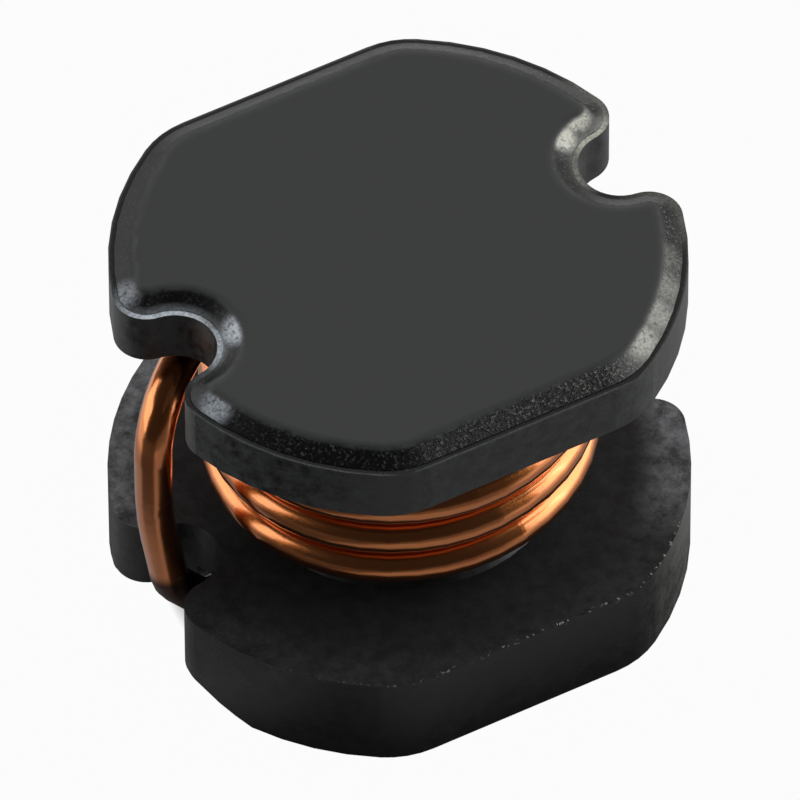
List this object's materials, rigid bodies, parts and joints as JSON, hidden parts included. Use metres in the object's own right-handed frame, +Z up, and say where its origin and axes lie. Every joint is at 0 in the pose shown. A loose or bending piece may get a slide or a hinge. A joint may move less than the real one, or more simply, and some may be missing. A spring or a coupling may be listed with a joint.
{
  "type": "smd power inductor",
  "caption": "Low surface-mount power inductor: enamelled copper wire wound on a dark ferrite drum core with flat sides and notched ends, soldered to pads beneath.",
  "frame": {"origin": "centre of the underside, on the plane on which the pads stand, on the drum's axis", "axes": "+Z up along the drum's axis, +X along the length from notch to notch, towards the notch where the wire starts at the lower flange, +Y across the width, square to the flat sides"},
  "size_m": [0.0057, 0.0052, 0.0044],
  "materials": {
    "ferrite": "matte, pressed and sintered nickel-zinc ferrite",
    "enamelled_copper": "clear enamel over drawn copper",
    "tin": "satin tin plating",
    "solder": "satin reflowed tin solder"
  },
  "bodies": {
    "root": {"drum_core": "ferrite", "winding": "enamelled_copper", "pad_start": "tin", "pad_finish": "tin", "solder_start": "solder", "solder_finish": "solder"}
  },
  "joints": []
}
